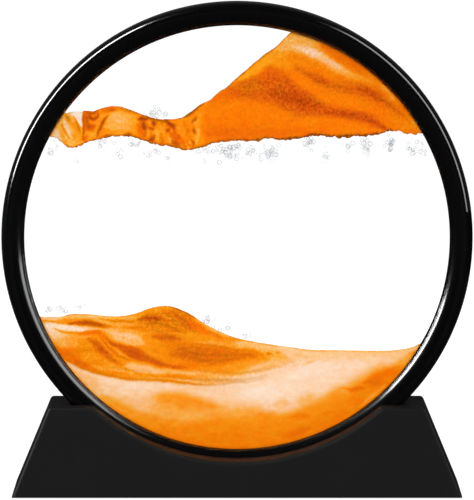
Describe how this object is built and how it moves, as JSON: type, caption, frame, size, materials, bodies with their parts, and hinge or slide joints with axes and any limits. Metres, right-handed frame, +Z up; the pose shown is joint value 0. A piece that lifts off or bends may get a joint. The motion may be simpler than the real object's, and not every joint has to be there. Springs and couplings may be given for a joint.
{
  "type": "moving sand art frame",
  "caption": "Round moving sand picture: glass panes hold coloured sand and liquid in a glossy black ring that rests in a low stand, turns in its groove and lifts out.",
  "frame": {"origin": "on the table, under the middle of the stand", "axes": "+X to the right seen from the front, +Y to the back along the ring's axis, +Z up"},
  "size_m": [0.18, 0.05, 0.188],
  "materials": {
    "ring_gloss_black": "gloss",
    "stand_matte_black": "satin",
    "inner_black": "matte",
    "clear_glass": "polished",
    "clear_liquid": "polished",
    "silicone": "satin",
    "black_rubber": "matte",
    "orange_sand": "matte",
    "pale_sand": "matte",
    "screw_steel": "satin"
  },
  "bodies": {
    "stand": {"base_shell": "stand_matte_black", "base_plate": "inner_black", "base_screw_front_left": "screw_steel", "base_screw_front_right": "screw_steel", "base_screw_rear_left": "screw_steel", "base_screw_rear_right": "screw_steel", "foot_front_left": "black_rubber", "foot_front_right": "black_rubber", "foot_rear_left": "black_rubber", "foot_rear_right": "black_rubber"},
    "liquid": {"liquid_middle": "clear_liquid", "liquid_top": "clear_liquid"},
    "disc": {"front_frame_ring": "ring_gloss_black", "rear_frame_ring": "ring_gloss_black", "front_glass": "clear_glass", "rear_glass": "clear_glass", "front_bezel_tape": "inner_black", "rear_bezel_tape": "inner_black", "front_glass_seal": "silicone", "rear_glass_seal": "silicone", "cell_spacer": "inner_black", "filler_plug": "black_rubber", "lower_sand_bed": "orange_sand", "lower_sand_drift": "pale_sand", "lower_sand_dunes": "orange_sand", "upper_sand_ribbon": "orange_sand", "upper_sand_peak": "orange_sand"}
  },
  "joints": [
    {"name": "disc_lift", "type": "slide", "parent": "stand", "child": "liquid", "axis": [0, 0, 1], "range_m": [0, 0.04]},
    {"name": "disc_turn", "type": "hinge", "parent": "liquid", "child": "disc", "pos_m": [0, 0, 0.098], "axis": [0, 1, 0], "continuous": true, "deforming": ["liquid_middle", "liquid_top"]}
  ]
}
